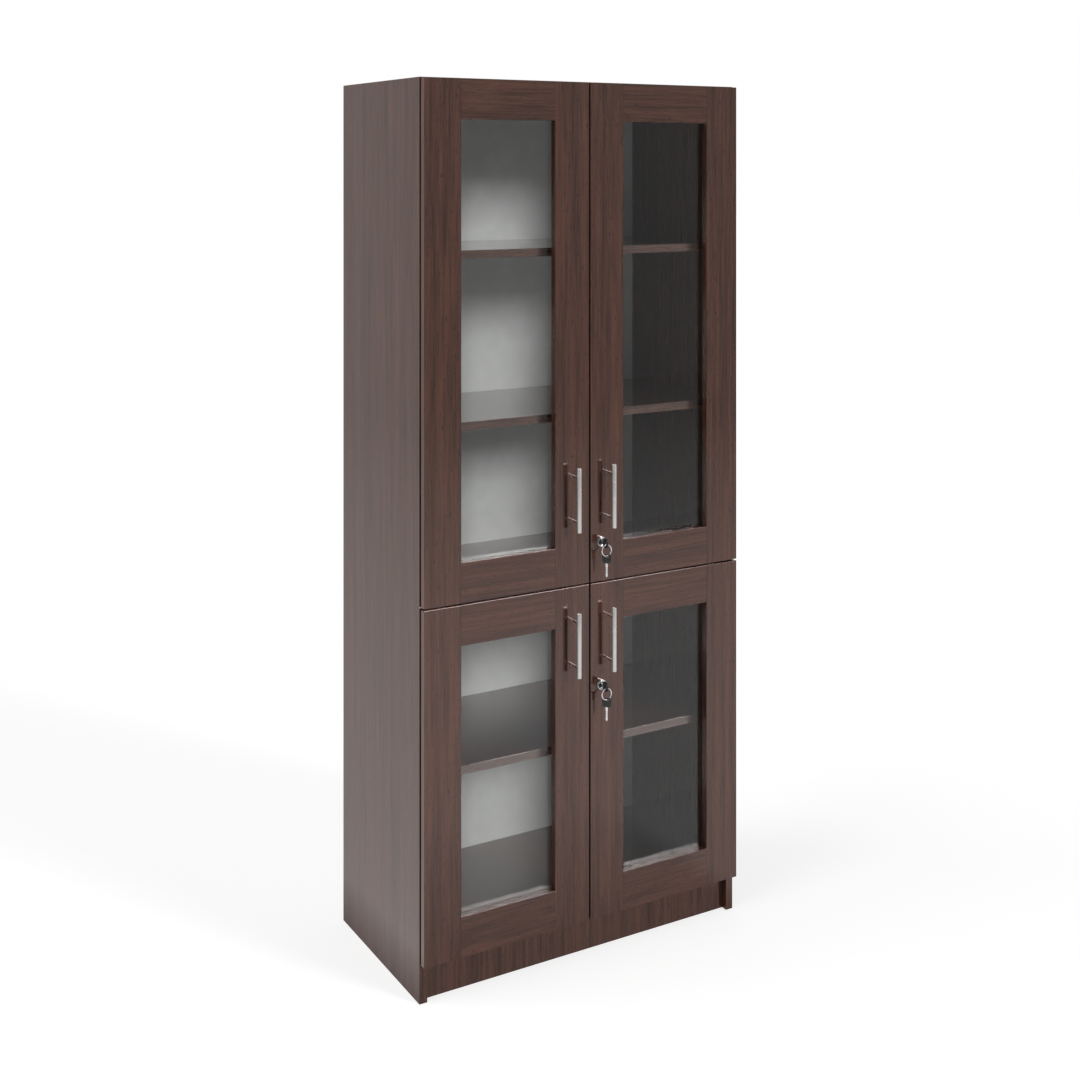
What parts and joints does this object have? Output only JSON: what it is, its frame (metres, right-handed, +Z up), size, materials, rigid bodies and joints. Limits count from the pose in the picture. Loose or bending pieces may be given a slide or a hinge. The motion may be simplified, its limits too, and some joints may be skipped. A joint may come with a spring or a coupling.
{
  "type": "bookcase with glass doors",
  "caption": "Tall dark wood bookcase with framed glass doors above and below, open shelves inside, bar handles, and cylinder locks with keys on the right-hand doors.",
  "frame": {"origin": "on the floor, in the middle of the overall box", "axes": "+X to the right seen from the front, +Y to the back, +Z up; the doors face -Y"},
  "size_m": [0.8, 0.4521, 1.9],
  "materials": {
    "dark_wood": "dark brown wood-grain laminate, semi-gloss",
    "white_hardboard": "white faced hardboard",
    "glass": "clear float glass",
    "handle_steel": "satin",
    "lock_chrome": "polished",
    "key_black": "moulded head on a steel blade",
    "bead_plastic": "extruded, dark brown",
    "hinge_steel": "nickel plated",
    "fitting_zinc": "die-cast zinc",
    "beech": "bare",
    "soft_bumper": "clear, soft"
  },
  "bodies": {
    "carcass": {"back_panel": "white_hardboard", "bottom_panel": "dark_wood", "cam_fittings": "fitting_zinc", "door_bumpers": "soft_bumper", "fixed_shelf": "dark_wood", "front_plinth": "dark_wood", "hinge_arms": "hinge_steel", "left_side_panel": "dark_wood", "lower_shelf": "dark_wood", "panel_dowels": "beech", "rear_plinth": "dark_wood", "right_side_panel": "dark_wood", "shelf_pins": "fitting_zinc", "top_panel": "dark_wood", "upper_shelf_high": "dark_wood", "upper_shelf_low": "dark_wood"},
    "upper_left_door": {"upper_left_bottom_rail": "dark_wood", "upper_left_glass": "glass", "upper_left_glazing_beads": "bead_plastic", "upper_left_handle": "handle_steel", "upper_left_hinge_cups": "hinge_steel", "upper_left_hinge_stile": "dark_wood", "upper_left_meeting_stile": "dark_wood", "upper_left_top_rail": "dark_wood"},
    "upper_right_door": {"upper_lock_barrel": "lock_chrome", "upper_right_bottom_rail": "dark_wood", "upper_right_glass": "glass", "upper_right_glazing_beads": "bead_plastic", "upper_right_handle": "handle_steel", "upper_right_hinge_cups": "hinge_steel", "upper_right_hinge_stile": "dark_wood", "upper_right_meeting_stile": "dark_wood", "upper_right_top_rail": "dark_wood"},
    "lower_left_door": {"lower_left_bottom_rail": "dark_wood", "lower_left_glass": "glass", "lower_left_glazing_beads": "bead_plastic", "lower_left_handle": "handle_steel", "lower_left_hinge_cups": "hinge_steel", "lower_left_hinge_stile": "dark_wood", "lower_left_meeting_stile": "dark_wood", "lower_left_top_rail": "dark_wood"},
    "lower_right_door": {"lower_lock_barrel": "lock_chrome", "lower_right_bottom_rail": "dark_wood", "lower_right_glass": "glass", "lower_right_glazing_beads": "bead_plastic", "lower_right_handle": "handle_steel", "lower_right_hinge_cups": "hinge_steel", "lower_right_hinge_stile": "dark_wood", "lower_right_meeting_stile": "dark_wood", "lower_right_top_rail": "dark_wood"},
    "upper_lock_core": {"upper_key": "key_black", "upper_lock_plug": "lock_chrome"},
    "upper_ring": {"upper_key_ring": "lock_chrome"},
    "upper_spare": {"upper_spare_key": "key_black"},
    "lower_lock_core": {"lower_key": "key_black", "lower_lock_plug": "lock_chrome"},
    "lower_ring": {"lower_key_ring": "lock_chrome"},
    "lower_spare": {"lower_spare_key": "key_black"}
  },
  "joints": [
    {"name": "upper_left_door_hinge", "type": "hinge", "parent": "carcass", "child": "upper_left_door", "pos_m": [-0.398, -0.192, 1.3555], "axis": [0, 0, -1], "range_deg": [0, 105]},
    {"name": "upper_right_door_hinge", "type": "hinge", "parent": "carcass", "child": "upper_right_door", "pos_m": [0.398, -0.192, 1.3555], "axis": [0, 0, 1], "range_deg": [0, 105]},
    {"name": "lower_left_door_hinge", "type": "hinge", "parent": "carcass", "child": "lower_left_door", "pos_m": [-0.398, -0.192, 0.445], "axis": [0, 0, -1], "range_deg": [0, 105]},
    {"name": "lower_right_door_hinge", "type": "hinge", "parent": "carcass", "child": "lower_right_door", "pos_m": [0.398, -0.192, 0.445], "axis": [0, 0, 1], "range_deg": [0, 105]},
    {"name": "upper_lock_turn", "type": "hinge", "parent": "upper_right_door", "child": "upper_lock_core", "pos_m": [0.027, -0.192, 0.9], "axis": [0, 1, 0], "range_deg": [0, 90]},
    {"name": "upper_ring_swing", "type": "hinge", "parent": "upper_lock_core", "child": "upper_ring", "pos_m": [0.027, -0.218, 0.89263], "axis": [0, 1, 0], "range_deg": [-90, 0]},
    {"name": "upper_spare_key_swing", "type": "hinge", "parent": "upper_ring", "child": "upper_spare", "pos_m": [0.027, -0.218, 0.87295], "axis": [1, 0, 0], "range_deg": [-60, 20]},
    {"name": "lower_lock_turn", "type": "hinge", "parent": "lower_right_door", "child": "lower_lock_core", "pos_m": [0.027, -0.192, 0.589], "axis": [0, 1, 0], "range_deg": [0, 90]},
    {"name": "lower_ring_swing", "type": "hinge", "parent": "lower_lock_core", "child": "lower_ring", "pos_m": [0.027, -0.218, 0.58162], "axis": [0, 1, 0], "range_deg": [-90, 0]},
    {"name": "lower_spare_key_swing", "type": "hinge", "parent": "lower_ring", "child": "lower_spare", "pos_m": [0.027, -0.218, 0.56195], "axis": [1, 0, 0], "range_deg": [-60, 20]}
  ],
  "couplings": [
    {"joint": "upper_ring_swing", "follows": "upper_lock_turn", "ratio": -1},
    {"joint": "lower_ring_swing", "follows": "lower_lock_turn", "ratio": -1}
  ]
}
